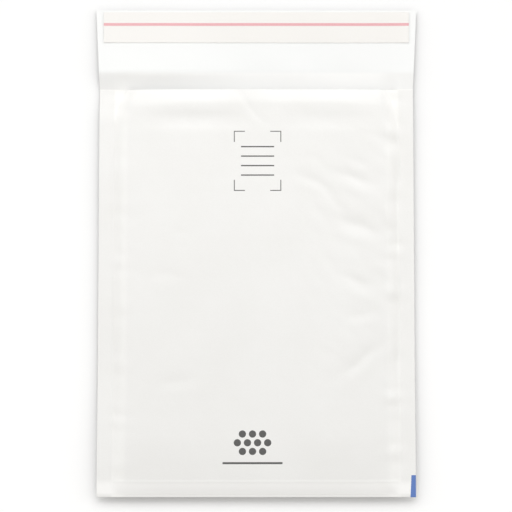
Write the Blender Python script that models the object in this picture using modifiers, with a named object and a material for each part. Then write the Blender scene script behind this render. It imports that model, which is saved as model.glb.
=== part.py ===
"""Padded envelope, lying on its back with the flap open.

One web of paper is folded along the bottom edge and sealed along both sides. Its far panel
runs on past the mouth as the flap. A folded web of bubble film pads the inside, and a band of
adhesive under a peel-off liner closes the flap. +X points to the right of the envelope,
+Y from the bottom fold to the flap, and +Z up from the table, through the near panel.
"""

import math

import bmesh
import bpy

# Driving dimensions, in metres.
BOTTOM_WIDTH = 0.2030
MOUTH_DRAW_IN = 0.0034
FLAP_FLARE = 0.0010
BODY_LENGTH = 0.2590
MOUTH_TO_CREASE = 0.0110
FLAP_LENGTH = 0.0400

PAPER = 0.00025
FILM = 0.0017
FILM_PRESSED = 0.0003
FILM_RISE = 0.0050
POCKET = 0.0050
FIT = 0.0003

SEAM_WIDTH = 0.0090
SEAM_HEIGHT = 0.0038
SEAM_DIP_LEFT = 0.0022
SEAM_DIP_RIGHT = 0.0004
SEAM_DIP_LENGTH = 0.0220
DIP_BLEND = 0.1600
BOTTOM_RISE = 0.0028
BOTTOM_RISE_LENGTH = 0.1000
SEAM_WELD = 0.00002
SEAM_STEP = 0.0002
FOLD_WIDTH = 0.0015
BOTTOM_STRIP = 0.0095
LINING_SETBACK = 0.0010
LINING_SIDE_GAP = 0.0022
LINING_WELD = 0.0025
LINING_SLACK = 0.0009
SLACK_RISE = 0.0060

BEVEL_WIDTH = 0.0085
BEVEL_SHARE = 0.66
BOTTOM_SHARE = 0.42
CROWN_WIDTH = 0.0400
UNDER_BEVEL = 0.0080
UNDER_BOTTOM = 0.0120
MOUTH_TAPER = 0.0075
MOUTH_TAPER_LENGTH = 0.0300

MOUTH_RIDGE_BACK = 0.0085
MOUTH_RIDGE_WIDTH = 0.0095
HOLLOW_BACK = 0.0110
HOLLOW_WIDTH = 0.0080
LIP_DROP = 0.0030
MOUTH_LIFT = 0.0012
MOUTH_LIFT_LENGTH = 0.0060
RAMP_CURVE = 0.45
FLAP_END_HEIGHT = 0.0026

LINER_WIDTH = 0.0194
LINER_INSET = 0.0013
LINER_END_INSET = 0.0048
LINER_THICKNESS = 0.00015
ADHESIVE_WIDTH = 0.0160
ADHESIVE_INSET = 0.0030
ADHESIVE_END_INSET = 0.0070
ADHESIVE_THICKNESS = 0.00015
LINE_FROM_EDGE = 0.0091
LINE_WIDTH = 0.0019

EDGE_MARK_WIDTH = 0.0035
EDGE_MARK_LENGTH = 0.0140

FINE_STEP = 0.0080
COARSE_STEP = 0.0200

# The crease's height over the table, as (share of the half width, height) from left to right.
CREASE_LINE = (
    (-1.00, 0.0039),
    (-0.60, 0.0039),
    (-0.35, 0.0032),
    (-0.05, 0.0023),
    (0.25, 0.0022),
    (0.55, 0.0015),
    (0.82, 0.0020),
    (1.00, 0.0040),
)

# The arcs of the ridge behind the mouth, one on each side of a pinch, as
# (middle, half length, rise of the ridge, depth of the hollow behind it).
MOUTH_ARCS = (
    (-0.0400, 0.0520, 0.0007, 0.0007),
    (0.0480, 0.0500, 0.0005, 0.0004),
)

# Soft dents in the paper over the padding, as ((from), (to), depth, half width).
# A place is a share of the half width and a share of the body's length from the bottom.
DENTS = (
    ((0.54, 0.834), (0.84, 0.741), 0.0008, 0.008),
    ((0.48, 0.726), (0.85, 0.641), 0.0008, 0.008),
    ((0.46, 0.564), (0.78, 0.510), 0.0007, 0.008),
    ((0.56, 0.305), (0.85, 0.375), 0.0007, 0.008),
    ((0.27, 0.792), (0.51, 0.749), 0.0005, 0.008),
    ((-0.62, 0.266), (-0.38, 0.297), 0.0004, 0.009),
    ((-0.68, 0.544), (-0.49, 0.541), 0.0004, 0.009),
)

# Sizes and places that follow from the driving dimensions. It is one web of paper, so its
# width at the mouth, where the padding draws it in, and at the flap follow the bottom's.
MOUTH_WIDTH = BOTTOM_WIDTH - MOUTH_DRAW_IN
FLAP_WIDTH = BOTTOM_WIDTH + FLAP_FLARE
FREE_Y = (BODY_LENGTH + MOUTH_TO_CREASE + FLAP_LENGTH) / 2
BOTTOM_Y = -FREE_Y
MOUTH_Y = BOTTOM_Y + BODY_LENGTH
CREASE_Y = MOUTH_Y + MOUTH_TO_CREASE
RIDGE_Y = MOUTH_Y - MOUTH_RIDGE_BACK
FOLD_Y = BOTTOM_Y + FOLD_WIDTH
LINING_BOTTOM_Y = BOTTOM_Y + BOTTOM_STRIP
LINING_TOP_Y = MOUTH_Y - LINING_SETBACK
TOP_HEIGHT = 2 * (PAPER + FIT + FILM) + LINING_SLACK + POCKET
MIDDLE_HALF_WIDTH = MOUTH_WIDTH / 2

WHITE_PAPER = (0.905, 0.895, 0.870)
CLEAR_FILM = (0.900, 0.915, 0.920)
CREAM_ADHESIVE = (0.860, 0.840, 0.740)
BEIGE_LINER = (0.900, 0.880, 0.840)
RED_INK = (0.870, 0.470, 0.500)
BLUE_INK = (0.115, 0.205, 0.510)


def clear_scene():
    """Remove what a new file holds."""
    for thing in list(bpy.data.objects):
        bpy.data.objects.remove(thing, do_unlink=True)


def collection(name):
    """A new collection in the scene."""
    made = bpy.data.collections.new(name)
    bpy.context.scene.collection.children.link(made)
    return made


def material(name, colour, roughness):
    """A plain material of one colour."""
    made = bpy.data.materials.new(name)
    made.use_nodes = True
    shader = made.node_tree.nodes["Principled BSDF"]
    shader.inputs["Base Color"].default_value = (*colour, 1.0)
    shader.inputs["Roughness"].default_value = roughness
    shader.inputs["Metallic"].default_value = 0.0
    return made


def share(value):
    """The value, kept between 0 and 1."""
    return min(max(value, 0.0), 1.0)


def quarter(value):
    """A quarter of a sine wave, from 0 to 1: steep at first and level at its end."""
    return math.sin(math.pi / 2 * share(value))


def ease(value):
    """From 0 to 1, level at both ends."""
    kept = share(value)
    return kept * kept * (3 - 2 * kept)


def bump(distance, reach):
    """A soft ridge, 1 high at its middle and 0 from its reach on."""
    return math.cos(math.pi / 2 * share(abs(distance) / reach)) ** 2


def half_width(y):
    """Half of the paper's width at y. The padding draws it in towards the mouth."""
    if y <= MOUTH_Y:
        along = (y - BOTTOM_Y) / BODY_LENGTH
        return (BOTTOM_WIDTH + (MOUTH_WIDTH - BOTTOM_WIDTH) * along) / 2
    along = (y - MOUTH_Y) / (FREE_Y - MOUTH_Y)
    return (MOUTH_WIDTH + (FLAP_WIDTH - MOUTH_WIDTH) * along) / 2


def inside_seam(x, y):
    """The distance from the inner edge of the nearest side seam, positive over the pocket."""
    return half_width(y) - SEAM_WIDTH - abs(x)


def seam_level(x, y):
    """The height at which the two panels meet: lower at the mouth, higher at the bottom."""
    dip = SEAM_DIP_RIGHT + (SEAM_DIP_LEFT - SEAM_DIP_RIGHT) * ease(0.5 - x / DIP_BLEND)
    rise = BOTTOM_RISE * ease(1 - (y - BOTTOM_Y) / BOTTOM_RISE_LENGTH)
    return SEAM_HEIGHT + rise - dip * ease(1 - (MOUTH_Y - y) / SEAM_DIP_LENGTH)


def swell(distance, bevel, bevel_share):
    """How far a panel has risen at a distance from its pressed edge, from 0 to 1."""
    return bevel_share * quarter(distance / bevel) + (1 - bevel_share) * quarter(distance / CROWN_WIDTH)


def mouth_taper(y):
    """How much the padding is rounded off at the mouth's corners, where the seams pinch it."""
    return MOUTH_TAPER * share(1 - (MOUTH_Y - y) / MOUTH_TAPER_LENGTH) ** 2


def over_padding(x, y):
    """How far the near panel stands up over the padding, from 0 at its pressed edges to 1."""
    side = swell(inside_seam(x, y) - mouth_taper(y), BEVEL_WIDTH, BEVEL_SHARE)
    return side * swell(y - FOLD_Y, BOTTOM_STRIP, BOTTOM_SHARE)


def near_smooth(x, y):
    """The near panel's outer face without its ridge and its dents."""
    seam = seam_level(x, y) + PAPER - SEAM_WELD
    lip = LIP_DROP * share((y - RIDGE_Y) / MOUTH_RIDGE_BACK) ** 1.5
    return seam + (TOP_HEIGHT - seam - lip) * over_padding(x, y)


def mouth_ridge(x, y):
    """The ridge behind the mouth's edge, and the hollow behind it."""
    height = 0.0
    for middle, half_length, rise, depth in MOUTH_ARCS:
        along = bump(x - middle, half_length)
        height += rise * along * bump(y - RIDGE_Y, MOUTH_RIDGE_WIDTH)
        height -= depth * along * bump(y - RIDGE_Y + HOLLOW_BACK, HOLLOW_WIDTH)
    return height


def dent_depth(x, y):
    """How deep the dents are at x, y."""
    depth = 0.0
    for start, end, full_depth, reach in DENTS:
        ax, ay = start[0] * MIDDLE_HALF_WIDTH, BOTTOM_Y + start[1] * BODY_LENGTH
        bx, by = end[0] * MIDDLE_HALF_WIDTH, BOTTOM_Y + end[1] * BODY_LENGTH
        length = math.hypot(bx - ax, by - ay)
        along = share(((x - ax) * (bx - ax) + (y - ay) * (by - ay)) / length**2)
        away = math.hypot(x - ax - along * (bx - ax), y - ay - along * (by - ay))
        depth += full_depth * bump(away, reach) * math.sin(math.pi * (0.15 + 0.7 * along))
    return depth


def near_face(x, y):
    """The near panel's outer face, which looks up."""
    return near_smooth(x, y) + (mouth_ridge(x, y) - dent_depth(x, y)) * over_padding(x, y)


def crease_height(x):
    """The height of the crease's underside over the table."""
    across = x / MIDDLE_HALF_WIDTH
    for (from_x, from_z), (to_x, to_z) in zip(CREASE_LINE, CREASE_LINE[1:]):
        if across <= to_x:
            return from_z + (to_z - from_z) * share((across - from_x) / (to_x - from_x))
    return CREASE_LINE[-1][1]


def flap_height(x, y):
    """The height of the flap's underside over the table. It sinks towards its free edge."""
    along = share((y - CREASE_Y) / FLAP_LENGTH)
    fall = 0.6 * quarter(along) + 0.4 * along
    return crease_height(x) + (FLAP_END_HEIGHT - crease_height(x)) * fall


def far_face(x, y):
    """The underside of the far panel and the flap.

    It lies flat on the table over the pocket, and lifts off it just before the mouth."""
    seam = seam_level(x, y) - PAPER + SEAM_WELD
    side = quarter(inside_seam(x, min(y, MOUTH_Y)) / UNDER_BEVEL)
    bottom = quarter((y - FOLD_Y) / UNDER_BOTTOM)
    lift = MOUTH_LIFT * ease(1 - (MOUTH_Y - y) / MOUTH_LIFT_LENGTH)
    body = seam + (lift - seam) * side * bottom
    past = share((y - MOUTH_Y) / MOUTH_TO_CREASE)
    to_flap = past - RAMP_CURVE * side * past * (1 - past)
    return body + (flap_height(x, y) - body) * to_flap


def spaced(start, stop, step):
    """Evenly spaced values from start up to stop, without stop, about a step apart."""
    count = max(1, round((stop - start) / step))
    return [start + (stop - start) * i / count for i in range(count)]


def mirrored(inward):
    """The column places over the whole width, from distances inward of the paper's edge."""
    half = MIDDLE_HALF_WIDTH
    left = [-(half - distance) for distance in inward if distance < half - 0.25 * FINE_STEP]
    return left + [0.0] + [-x for x in reversed(left)]


def paper_columns(step, first):
    """The columns of a paper panel: the seam, the bevel beside it, and the field between."""
    bevel = [SEAM_WIDTH + BEVEL_WIDTH * part for part in (0.0, 0.25, 0.55, 1.0)]
    taper = [bevel[-1] + MOUTH_TAPER * part for part in (0.5, 1.0)]
    field = spaced(taper[-1], MIDDLE_HALF_WIDTH, step)[1:]
    return mirrored([*first, *bevel, *taper, *field])


def body_rows(step):
    """The rows of a panel from the bottom fold to the mouth."""
    strip = [FOLD_Y + (BOTTOM_STRIP - FOLD_WIDTH) * part for part in (0.0, 0.3, 0.65, 1.0)]
    ridge_start = RIDGE_Y - HOLLOW_BACK - HOLLOW_WIDTH
    field = spaced(LINING_BOTTOM_Y, ridge_start, step)[1:]
    ridge = spaced(ridge_start, LINING_TOP_Y, HOLLOW_WIDTH / 2)
    return [BOTTOM_Y, *strip, *field, *ridge, LINING_TOP_Y, MOUTH_Y]


def sheet(name, columns, rows, height, edge=None):
    """A sheet over the given columns and rows, at the height of a function of x and y.

    The columns are for the width at the mouth, and follow the paper's own width. An edge gives
    the sheet's half width at y, and the columns then run between its two sides."""
    mesh = bpy.data.meshes.new(name)
    grid = bmesh.new()
    bmesh.ops.create_grid(grid, x_segments=len(columns) - 1, y_segments=len(rows) - 1, size=1.0)
    points = sorted(grid.verts, key=lambda v: (round(v.co.y, 6), round(v.co.x, 6)))
    for index, point in enumerate(points):
        y = rows[index // len(columns)]
        half = edge(y) if edge else half_width(y)
        x = columns[index % len(columns)] * half / max(columns)
        point.co = (x, y, height(x, y))
    grid.normal_update()
    grid.to_mesh(mesh)
    grid.free()
    return bpy.data.objects.new(name, mesh)


def thicken(thing, thickness, upward):
    """Give a sheet its thickness, above or below the surface it was made on."""
    solidify = thing.modifiers.new("thickness", "SOLIDIFY")
    solidify.thickness = thickness
    solidify.offset = 1.0 if upward else -1.0
    return thing


def boolean(thing, operation, other):
    """Join or cut with another object, which stays as a guide."""
    modifier = thing.modifiers.new(operation.lower(), "BOOLEAN")
    modifier.operation = operation
    modifier.solver = "EXACT"
    modifier.object = other


def add_guide(thing, guides):
    """Keep an object as a guide that isn't rendered."""
    guides.objects.link(thing)
    thing.hide_render = True
    thing.display_type = "WIRE"
    return thing


def colour_faces(thing, index, wanted):
    """Give the faces whose middle is wanted another material slot."""
    for face in thing.data.polygons:
        if wanted(face.center):
            face.material_index = index


def paper_envelope(part, guides):
    """The folded paper: near panel, far panel and flap, joined along the seams and the fold."""
    seam = [SEAM_STEP, EDGE_MARK_WIDTH]
    rows = body_rows(FINE_STEP)
    rows[0] += SEAM_STEP
    mark_end = BOTTOM_Y + EDGE_MARK_LENGTH
    rows = sorted(y for y in rows if abs(y - mark_end) > FINE_STEP / 4)
    rows = sorted([*rows, mark_end])
    near = sheet(
        "paper_envelope", paper_columns(FINE_STEP, seam), rows, near_face,
        edge=lambda y: half_width(y) - SEAM_STEP,
    )
    thicken(near, PAPER, upward=False)
    near.data.materials.append(material("white_paper", WHITE_PAPER, 0.85))
    near.data.materials.append(material("blue_ink", BLUE_INK, 0.8))
    mark_side = BOTTOM_WIDTH / 2 - EDGE_MARK_WIDTH
    colour_faces(near, 1, lambda at: at.x > mark_side - SEAM_STEP and at.y < mark_end)

    past_mouth = [
        *spaced(MOUTH_Y, CREASE_Y, MOUTH_TO_CREASE / 4)[1:],
        *spaced(CREASE_Y, FREE_Y, FLAP_LENGTH / 4),
        FREE_Y,
    ]
    under = [SEAM_WIDTH + UNDER_BEVEL * part for part in (0.0, 0.3, 0.6, 1.0)]
    field = spaced(under[-1], MIDDLE_HALF_WIDTH, COARSE_STEP)[1:]
    far_rows = [*body_rows(COARSE_STEP), *past_mouth]
    far = sheet("far_panel", mirrored([0.0, *under, *field]), far_rows, far_face)
    thicken(far, PAPER, upward=True)
    far.data.materials.append(near.data.materials[0])
    boolean(near, "UNION", add_guide(far, guides))
    part.objects.link(near)


def slab(name, columns, rows, low, high, edge):
    """A closed body between two height functions."""
    thing = sheet(name, columns, rows, low, edge)
    body = bmesh.new()
    body.from_mesh(thing.data)
    made = bmesh.ops.extrude_face_region(body, geom=list(body.faces))
    for point in (p for p in made["geom"] if isinstance(p, bmesh.types.BMVert)):
        point.co.z = high(point.co.x, point.co.y)
    bmesh.ops.recalc_face_normals(body, faces=list(body.faces))
    body.to_mesh(thing.data)
    body.free()
    return thing


def lining_edge(y):
    """Half of the lining's width: it ends just inside the side seams and the round corners."""
    return half_width(y) - SEAM_WIDTH - LINING_SIDE_GAP - mouth_taper(y)


def pocket_edge(y):
    """Half of the pocket's width, between the lining's welded sides."""
    return lining_edge(y) - LINING_WELD


def slack(x, y):
    """The air between the paper and the lining, which spans the paper's dents."""
    return LINING_SLACK * ease((MOUTH_Y - y) / SLACK_RISE) * over_padding(x, y)


def film_depth(x, y):
    """The thickness of the film, which is pressed flat beside its welds and at the mouth."""
    beside = quarter((pocket_edge(y) - abs(x)) / FILM_RISE)
    before = quarter((LINING_TOP_Y - y) / FILM_RISE)
    return FILM_PRESSED + (FILM - FILM_PRESSED) * beside * before


def lining_top(x, y):
    return near_smooth(x, y) - PAPER - FIT - slack(x, y)


def lining_low(x, y):
    return far_face(x, y) + PAPER + FIT


def pocket_top(x, y):
    y = min(y, LINING_TOP_Y)
    return lining_top(x, y) - film_depth(x, y)


def pocket_low(x, y):
    y = min(y, LINING_TOP_Y)
    return lining_low(x, y) + film_depth(x, y)


def bubble_lining(part, guides):
    """The folded bubble film, welded along its sides and open at the mouth."""
    rows = [y for y in body_rows(COARSE_STEP) if LINING_BOTTOM_Y <= y <= LINING_TOP_Y]
    inner = [LINING_BOTTOM_Y + FILM, *[y for y in rows if y > LINING_BOTTOM_Y + 2 * FILM], MOUTH_Y]
    edge = SEAM_WIDTH + LINING_SIDE_GAP
    weld = edge + LINING_WELD
    rise = [weld + FILM_RISE * part for part in (0.0, 0.4, 1.0)]
    taper = SEAM_WIDTH + BEVEL_WIDTH + MOUTH_TAPER
    columns = mirrored([edge, *rise, taper, *spaced(taper, MIDDLE_HALF_WIDTH, COARSE_STEP)[1:]])
    lining = slab("bubble_lining", columns, rows, lining_low, lining_top, lining_edge)
    lining.data.materials.append(material("bubble_film", CLEAR_FILM, 0.25))
    pocket = slab("pocket", columns[1:-1], inner, pocket_low, pocket_top, pocket_edge)
    boolean(lining, "DIFFERENCE", add_guide(pocket, guides))
    part.objects.link(lining)


def flap_strip(name, width, inset, end_inset, thickness, lift, cross_rows=()):
    """A strip along the flap's free edge, lying the given height above the flap's paper."""
    half = FLAP_WIDTH / 2 - end_inset
    far_edge = FREE_Y - inset
    rows = sorted([far_edge - width, far_edge - width / 2, *cross_rows, far_edge])
    columns = [*spaced(-half, half, COARSE_STEP / 2), half]

    def height(x, y):
        return flap_height(x, y) + PAPER + lift

    strip = sheet(name, columns, rows, height, edge=lambda y: half)
    return thicken(strip, thickness, upward=True)


def adhesive_strip(part):
    """The band of adhesive on the flap, under the liner."""
    strip = flap_strip(
        "adhesive_strip", ADHESIVE_WIDTH, ADHESIVE_INSET, ADHESIVE_END_INSET,
        ADHESIVE_THICKNESS, FIT,
    )
    strip.data.materials.append(material("adhesive", CREAM_ADHESIVE, 0.35))
    part.objects.link(strip)


def release_liner(part):
    """The peel-off strip over the adhesive, with one red line printed along it."""
    line_middle = FREE_Y - LINE_FROM_EDGE
    line_rows = (line_middle - LINE_WIDTH / 2, line_middle + LINE_WIDTH / 2)
    liner = flap_strip(
        "release_liner", LINER_WIDTH, LINER_INSET, LINER_END_INSET,
        LINER_THICKNESS, FIT + ADHESIVE_THICKNESS + FIT, line_rows,
    )
    liner.data.materials.append(material("liner_paper", BEIGE_LINER, 0.45))
    liner.data.materials.append(material("red_ink", RED_INK, 0.5))
    colour_faces(liner, 1, lambda at: abs(at.y - line_middle) < LINE_WIDTH / 2)
    part.objects.link(liner)


def main():
    clear_scene()
    part = collection("padded_envelope")
    guides = collection("cutters")
    paper_envelope(part, guides)
    bubble_lining(part, guides)
    adhesive_strip(part)
    release_liner(part)


main()
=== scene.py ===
# %% [markdown]
# # A padded envelope, seen from above
#
# The envelope is one web of white paper, folded once at the bottom and sealed down both
# sides, with a second folded web of bubble film inside it. The flap at the top is open, and a
# peel-off liner with one red line covers its adhesive. This script dresses the packed
# CAD model: it loads it as a fixed frame and makes each piece again with its fine surface.

# %% Load the frame
import math

import bpy
import numpy as np
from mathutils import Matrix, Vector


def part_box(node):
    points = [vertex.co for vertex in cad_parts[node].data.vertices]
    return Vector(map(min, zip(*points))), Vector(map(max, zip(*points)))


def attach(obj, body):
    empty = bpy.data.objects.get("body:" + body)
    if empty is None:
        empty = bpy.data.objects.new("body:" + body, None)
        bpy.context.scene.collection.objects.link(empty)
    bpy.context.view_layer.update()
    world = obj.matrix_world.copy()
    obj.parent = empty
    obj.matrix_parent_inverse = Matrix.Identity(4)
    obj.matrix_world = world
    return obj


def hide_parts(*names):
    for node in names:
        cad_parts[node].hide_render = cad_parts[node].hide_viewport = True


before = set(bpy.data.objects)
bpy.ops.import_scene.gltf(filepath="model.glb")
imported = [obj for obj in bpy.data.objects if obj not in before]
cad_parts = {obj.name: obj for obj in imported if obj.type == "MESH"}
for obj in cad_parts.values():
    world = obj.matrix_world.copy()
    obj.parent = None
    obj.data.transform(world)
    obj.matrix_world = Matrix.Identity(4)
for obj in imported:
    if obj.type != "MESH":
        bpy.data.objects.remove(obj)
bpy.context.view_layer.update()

print("nodes in the frame:", sorted(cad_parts))

# %% [markdown]
# ## Sizes
#
# The places of the edges are read from the frame, so each piece here lies where its solid
# lies. The rest are sizes of the paper, the seams and the film, in metres.

# %% Sizes from the frame
paper_low, paper_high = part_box("paper_envelope")
lining_low, lining_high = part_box("bubble_lining")
liner_low, liner_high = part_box("release_liner")
glue_low, glue_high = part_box("adhesive_strip")

BOTTOM_Y = float(paper_low[1])
FREE_Y = float(paper_high[1])
LINING_BOTTOM_Y = float(lining_low[1])
LINING_TOP_Y = float(lining_high[1])
MOUTH_Y = LINING_TOP_Y + 0.0010
CREASE_Y = MOUTH_Y + 0.0110
print("body", round((MOUTH_Y - BOTTOM_Y) * 1000, 1), "mm")
print("flap", round((FREE_Y - CREASE_Y) * 1000, 1), "mm")

# %% Sizes of the paper and the film
BOTTOM_WIDTH = 0.2030
MOUTH_WIDTH = 0.1996
FLAP_WIDTH = 0.2040
PAPER = 0.00020
FILM_SHEET = 0.00012
FILM_GAP = 0.00015
FILM_DEPTH = 0.0020
FILM_SLACK = 0.0009

SEAM_WIDTH = 0.0090
SEAM_HEIGHT = 0.0038
SEAM_DIP_LEFT = 0.0022
SEAM_DIP_RIGHT = 0.0004
SEAM_DIP_LENGTH = 0.0220
DIP_BLEND = 0.1600
BOTTOM_RISE = 0.0028
BOTTOM_RISE_LENGTH = 0.1000
SEAM_GLUE = 0.00004
FOLD_RADIUS = 0.00032
BOTTOM_STRIP = LINING_BOTTOM_Y - BOTTOM_Y
TOP_HEIGHT = 0.0104

BEVEL_WIDTH = 0.0085
BEVEL_SHARE = 0.66
BOTTOM_SHARE = 0.42
CROWN_WIDTH = 0.0400
UNDER_BEVEL = 0.0080
UNDER_BOTTOM = 0.0120

# %% [markdown]
# ## The shape of the two panels
#
# Paper over a pad is nearly flat in the middle and drops quickly to the pressed seams. A
# cloth simulation could find such a form, but it wouldn't put the few wrinkles where the real
# one has them. So the height of each panel is a formula in x and y, built up from a few
# simple curves: a quarter sine for the swell beside a seam, and a soft bump for a ridge.

# %% Curves that the heights are made of
def share(value):
    """The value, kept between 0 and 1."""
    return np.clip(value, 0.0, 1.0)


def quarter(value):
    """From 0 to 1 along a quarter of a sine: steep at first, level at its end."""
    return np.sin(np.pi / 2 * share(value))


def ease(value):
    """From 0 to 1, level at both ends."""
    kept = share(value)
    return kept * kept * (3 - 2 * kept)


def bump(distance, reach):
    """1 in the middle, falling softly to 0 at the reach."""
    return np.cos(np.pi / 2 * share(np.abs(distance) / reach)) ** 2


def half_width(y):
    """Half of the paper's width at y: the padding draws it in towards the mouth."""
    body = share((y - BOTTOM_Y) / (MOUTH_Y - BOTTOM_Y))
    flap = share((y - MOUTH_Y) / (FREE_Y - MOUTH_Y))
    return (BOTTOM_WIDTH + (MOUTH_WIDTH - BOTTOM_WIDTH) * body + (FLAP_WIDTH - MOUTH_WIDTH) * flap) / 2


def inside_seam(x, y):
    """The distance from the nearest seam's inner edge, positive over the pocket."""
    return half_width(y) - SEAM_WIDTH - np.abs(x)


def seam_height(x, y):
    """The height at which the two panels meet: lower at the mouth, higher at the bottom."""
    dip = SEAM_DIP_RIGHT + (SEAM_DIP_LEFT - SEAM_DIP_RIGHT) * ease(0.5 - x / DIP_BLEND)
    rise = BOTTOM_RISE * ease(1 - (y - BOTTOM_Y) / BOTTOM_RISE_LENGTH)
    return SEAM_HEIGHT + rise - dip * ease(1 - (MOUTH_Y - y) / SEAM_DIP_LENGTH)


def swell(distance, bevel, bevel_share):
    """How far a panel has risen at a distance from its pressed edge, from 0 to 1."""
    return bevel_share * quarter(distance / bevel) + (1 - bevel_share) * quarter(distance / CROWN_WIDTH)


# %% [markdown]
# ## Wrinkles
#
# Paper doesn't stretch, so where the pad pushes it, it buckles into short straight valleys
# with a sharp middle and soft shoulders. Each one is a line from one point to another with a
# depth and a reach, and most of them run in from the right seam.

# %% The valleys in the near panel
# (from x, from y, to x, to y, depth, reach), all in millimetres; below 0 it is a ridge
VALLEYS = (
    (52, 53, 80, 41, 1.05, 6.5),
    (53, 23, 81, 10, 1.25, 6.5),
    (49, -11, 76, -23, 0.85, 6.5),
    (58, -40, 76, -39, 0.55, 5.0),
    (55, -76, 79, -59, 0.90, 7.0),
    (27, 50, 51, 38, 0.60, 5.0),
    (44, 37, 55, 30, 0.35, 4.0),
    (58, 62, 73, 55, 0.45, 4.5),
    (31, 61, 40, 58, 0.25, 4.0),
    (66, 76, 80, 72, 0.35, 4.5),
    (40, -60, 54, -66, 0.25, 5.5),
    (77, 58, 81, 50, -0.50, 4.0),
    (80, 31, 85, 14, -0.95, 4.5),
    (77, -7, 80, -14, -0.50, 4.0),
    (80, -30, 81, -38, -0.45, 4.0),
    (81, -78, 84, -86, -0.55, 4.0),
    (-82, 20, -72, 26, 0.30, 4.0),
    (-80, -12, -76, -9, 0.25, 4.0),
    (-68, -14, -49, -15, 0.35, 5.5),
    (-62, -86, -38, -78, 0.40, 6.0),
    (-52, 12, -42, 12, 0.25, 4.5),
    (-14, 103, 5, 84, 0.55, 4.5),
)
VALLEY_SPREAD = 0.62
VALLEY_SHARPNESS = 1.35
SHOULDER_SHIFT = 1.1
SHOULDER_SHARE = 0.30


def valley(x, y, line):
    """The depth of one valley at x, y: sharp along its line, soft across, shallow at its ends."""
    ax, ay, bx, by, depth, reach = (value / 1000 for value in line)
    run_x, run_y = bx - ax, by - ay
    length = math.hypot(run_x, run_y)
    along = ((x - ax) * run_x + (y - ay) * run_y) / length**2
    across = np.abs((x - ax) * run_y - (y - ay) * run_x) / length
    past_end = np.maximum(np.maximum(-along, along - 1), 0) * length
    away = np.hypot(across, past_end)
    middle = 0.35 + 0.65 * np.sin(np.pi * share(along))
    return depth * middle * np.exp(-((away / (VALLEY_SPREAD * reach)) ** VALLEY_SHARPNESS))


def wrinkles(x, y):
    """All the valleys together, each with a low shoulder on the side towards the bottom.

    The place is shifted a little first, so that no valley is quite straight."""
    height = np.zeros_like(x)
    bent_x = x + 0.0011 * np.sin(150 * y + 0.6)
    bent_y = y + 0.0013 * np.sin(140 * x) + 0.0006 * np.sin(330 * x + 90 * y)
    for line in VALLEYS:
        ax, ay, bx, by, depth, reach = line
        shift = SHOULDER_SHIFT * reach
        shoulder = (ax, ay - shift, bx, by - shift, SHOULDER_SHARE * depth, reach)
        height -= valley(bent_x, bent_y, line)
        height += valley(bent_x, bent_y, shoulder)
    return height


# %% Slow waves, puckers beside the seams, and the bubbles that show through
BUBBLE_PITCH = 0.0125
BUBBLE_WIDTH = 0.0108
CRUMPLE_DEPTH = 0.00065
SQUEEZED_FROM_X = 0.012
SQUEEZED_BLEND = 0.045
SQUEEZED_MIDDLE_Y = 0.012
SQUEEZED_REACH = 0.130
WAVE_HEIGHT = 0.00010
PRINT_THROUGH = 0.00005
PUCKER_HEIGHT = 0.00022
PUCKER_MIDDLE = 0.0045
PUCKER_REACH = 0.0065
RIGHT_BLEND = 0.020
rng = np.random.default_rng(11)
# (waves across x, waves along y, their phases), waves as 2 pi times the number in a metre
WAVES = [
    (rng.uniform(45, 130), rng.uniform(45, 130), rng.uniform(0, 2 * np.pi), rng.uniform(0, 2 * np.pi))
    for _ in range(9)
]
# (2 pi times the waves in a metre, direction across them, phase)
CRUMPLES = [
    (rng.uniform(190, 360), rng.uniform(0.6, 1.5), rng.uniform(0, 2 * np.pi))
    for _ in range(6)
]


def slow_waves(x, y):
    """An even unrest of the paper, about 1 in size."""
    height = np.zeros_like(x)
    for wave_x, wave_y, phase_x, phase_y in WAVES:
        height += np.sin(wave_x * x + phase_x) * np.sin(wave_y * y + phase_y)
    return height / 3


def crumples(x, y):
    """Small sharp valleys that cross on the right side, where the envelope has been squeezed."""
    depth = np.zeros_like(x)
    for waves, direction, phase in CRUMPLES:
        across = x * math.cos(direction) + y * math.sin(direction)
        along = y * math.cos(direction) - x * math.sin(direction)
        wave = np.sin(waves * across + 1.1 * np.sin(75 * along + 2 * phase) + phase)
        depth += 1 - np.sqrt(wave**2 + 0.02)
    squeezed = ease((x - SQUEEZED_FROM_X) / SQUEEZED_BLEND)
    squeezed *= bump(y - SQUEEZED_MIDDLE_Y, SQUEEZED_REACH)
    return depth / len(CRUMPLES) * squeezed


def puckers(x, y):
    """Small folds that run in from the side seams, uneven along them, and higher on the right."""
    beside = inside_seam(x, y)
    fold = np.sin(430 * y + 2.2 * np.sin(61 * y) + 1.7 * np.sign(x)) * np.sin(95 * y + np.sign(x)) ** 2
    slanted = np.sin(250 * y + 300 * x + 1.4 * np.sin(83 * y)) * np.sin(52 * y + 0.7) ** 2
    right = ease(x / RIGHT_BLEND)
    near_seam = np.exp(-(((beside - PUCKER_MIDDLE) / PUCKER_REACH) ** 2))
    return (fold + 1.3 * slanted * right) * (1 + 0.5 * right) * near_seam


def bubble_print(x, y):
    """1 over the middle of a bubble and 0 between the bubbles, on a lattice of triangles."""
    row_step = BUBBLE_PITCH * math.sqrt(3) / 2
    best = np.full_like(x, 1.0)
    for shift in (0, 1):
        row = np.round((y / row_step - shift) / 2) * 2 + shift
        column = np.round(x / BUBBLE_PITCH - shift / 2) + shift / 2
        best = np.minimum(best, np.hypot(x - column * BUBBLE_PITCH, y - row * row_step))
    rim = 0.3 * BUBBLE_WIDTH
    return 1 - ease((best - rim) / rim)


print("valleys:", len(VALLEYS), "waves:", len(WAVES) + len(CRUMPLES))

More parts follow.
